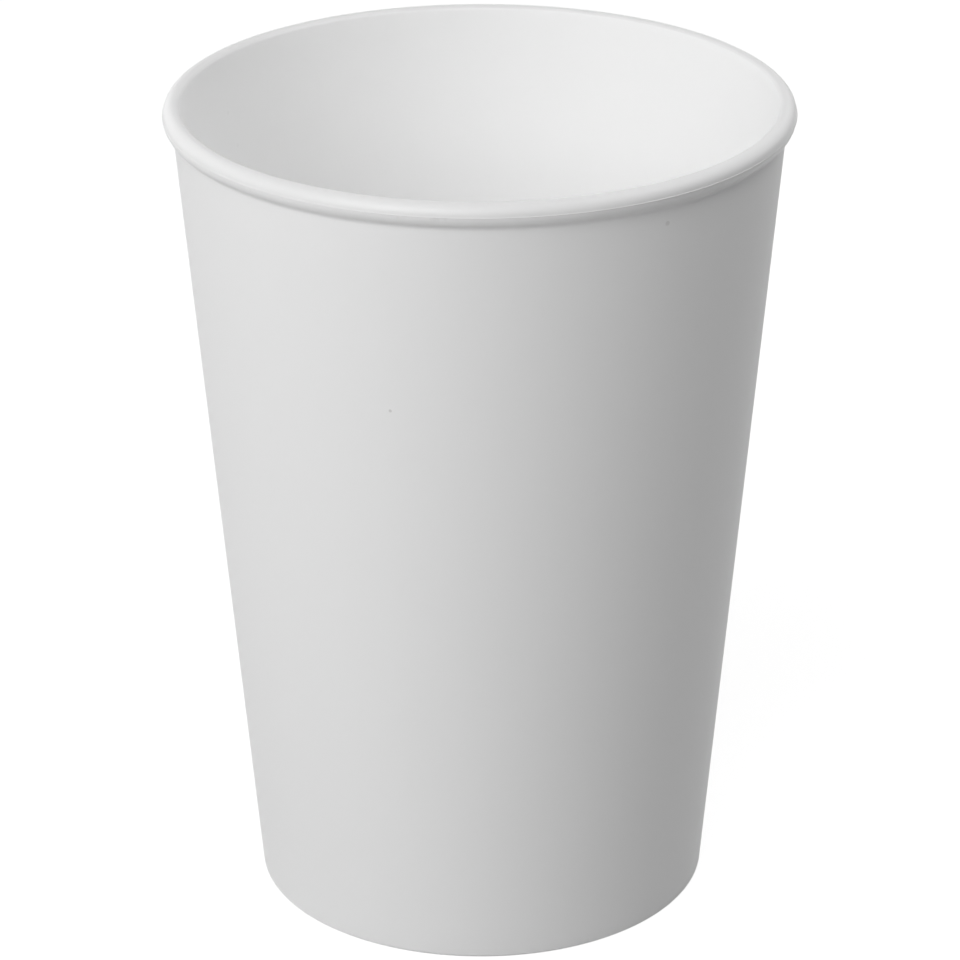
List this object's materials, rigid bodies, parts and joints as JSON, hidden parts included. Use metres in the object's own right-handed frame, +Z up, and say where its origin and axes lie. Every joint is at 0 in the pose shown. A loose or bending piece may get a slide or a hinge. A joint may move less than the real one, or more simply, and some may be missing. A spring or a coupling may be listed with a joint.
{
  "type": "moulded drinking cup",
  "caption": "Tapered moulded drinking cup with a round bead at the rim and a floor raised inside a foot ring.",
  "frame": {"origin": "centre of the circle that the foot ring stands on", "axes": "+Z up along the cup's axis, from the foot to the rim"},
  "size_m": [0.0881, 0.088, 0.1182],
  "materials": {
    "cup_plastic": "fine matte moulded plastic, white, with a smoother satin rim bead"
  },
  "bodies": {
    "root": {"cup": "cup_plastic"}
  },
  "joints": []
}
